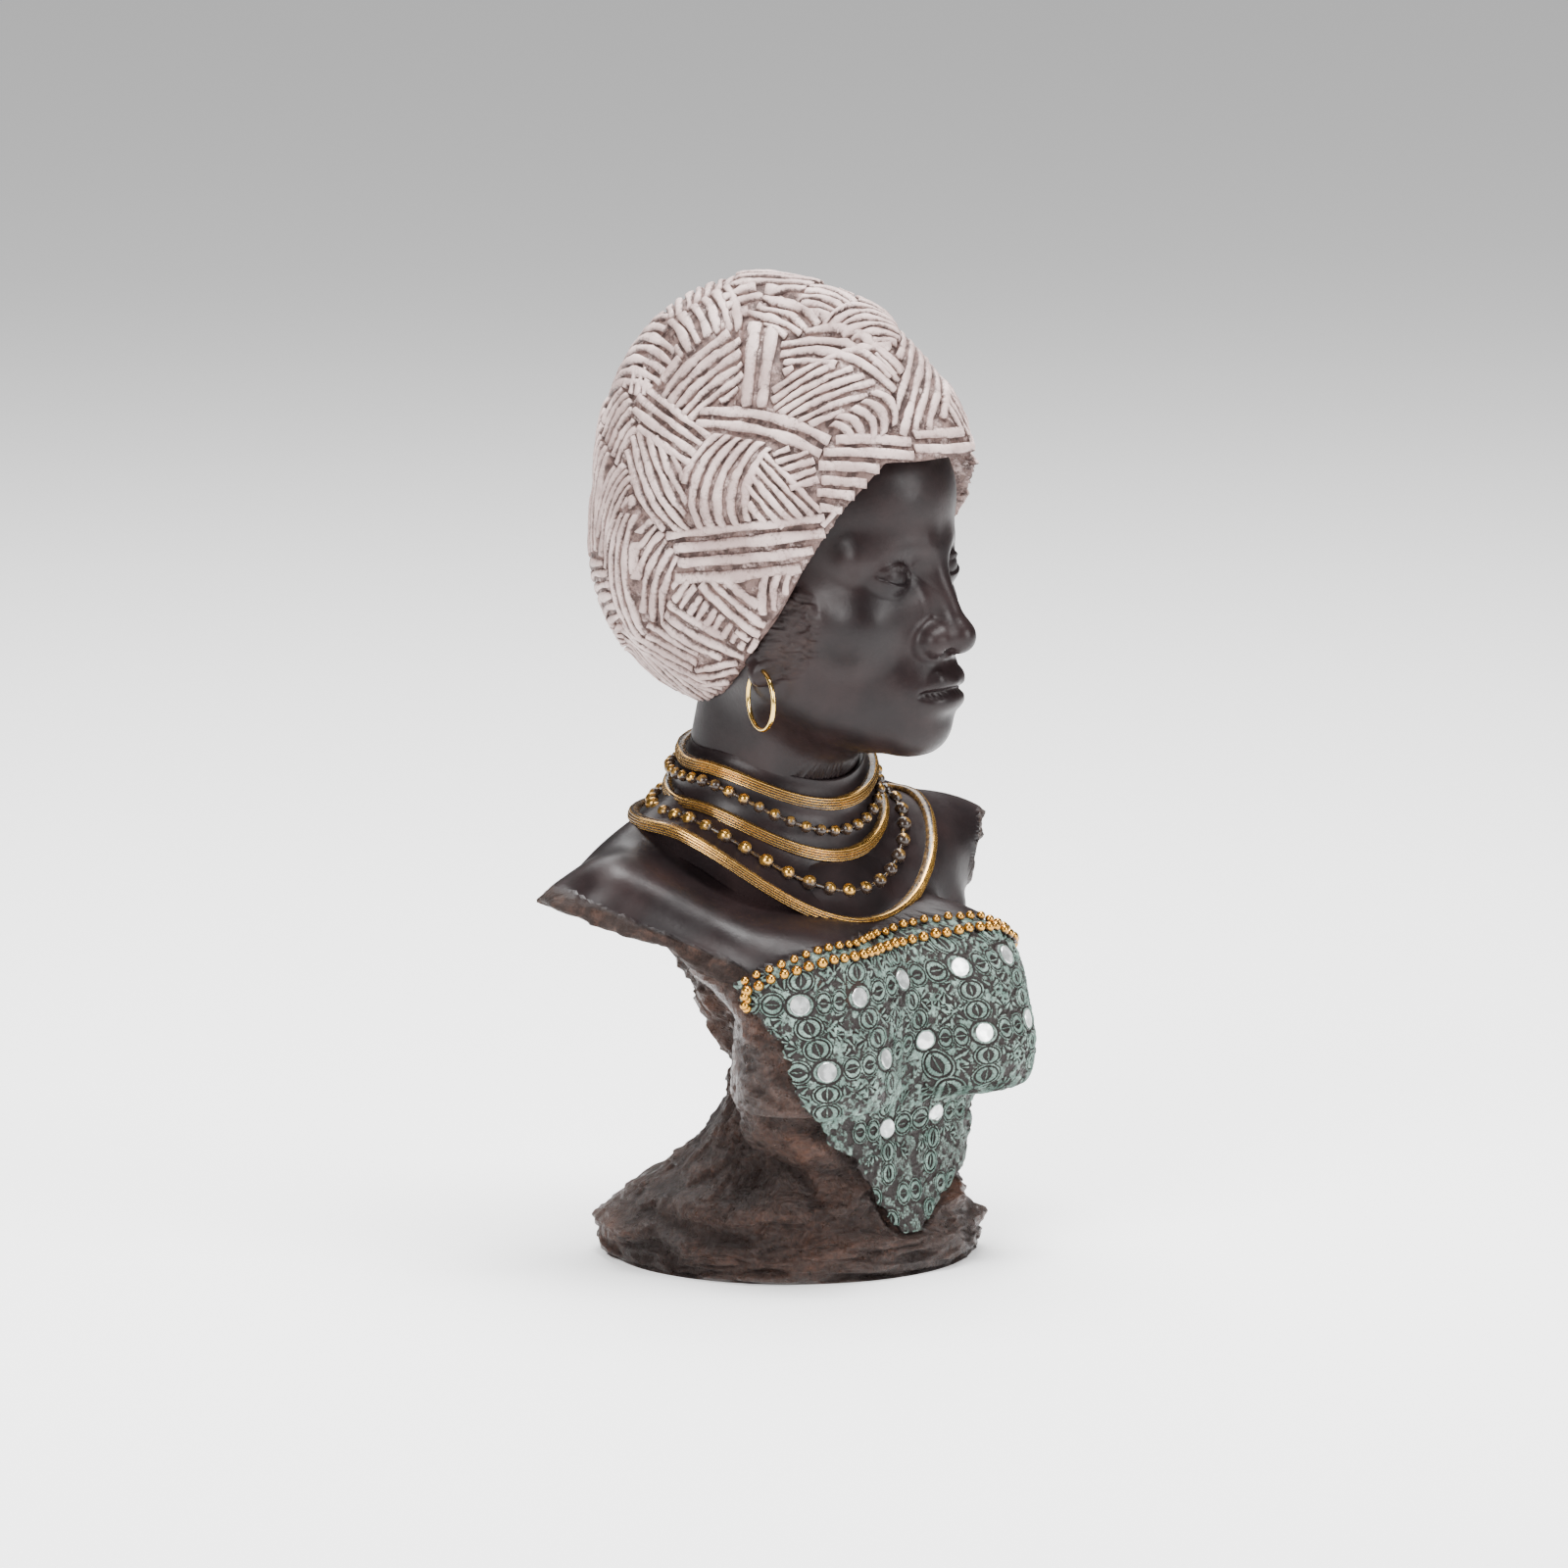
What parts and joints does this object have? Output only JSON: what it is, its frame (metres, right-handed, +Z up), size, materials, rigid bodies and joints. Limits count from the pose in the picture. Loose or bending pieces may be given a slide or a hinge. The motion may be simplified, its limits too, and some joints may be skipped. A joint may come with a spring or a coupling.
{
  "type": "bust",
  "caption": "Painted resin bust of a woman with a carved head wrap, ridged collars and beads, hoop earrings and a mirror-set bodice on a rough pedestal.",
  "frame": {"origin": "centre of the bounding box in X and Y, at the underside of the base", "axes": "+Z up; the torso faces -Y and the figure's left is +X"},
  "size_m": [0.1914, 0.1374, 0.3235],
  "materials": {
    "dark_resin": "dark brown paint with a satin wax",
    "wrap_resin": "pale pink-beige dry brush over dark brown grooves",
    "verdigris_resin": "verdigris dry brush over dark brown",
    "rock_resin": "rough dark brown with reddish wear",
    "gilt_paint": "gold paint rubbed over dark resin",
    "gold_wire": "bright gilt wire",
    "mirror_glass": "silvered glass"
  },
  "bodies": {
    "root": {"bust": "dark_resin", "earring_right": "gold_wire", "earring_left": "gold_wire", "mirror_01": "mirror_glass", "mirror_02": "mirror_glass", "mirror_03": "mirror_glass", "mirror_04": "mirror_glass", "mirror_05": "mirror_glass", "mirror_06": "mirror_glass", "mirror_07": "mirror_glass", "mirror_08": "mirror_glass", "mirror_09": "mirror_glass", "mirror_10": "mirror_glass", "mirror_11": "mirror_glass", "mirror_12": "mirror_glass"}
  },
  "joints": []
}
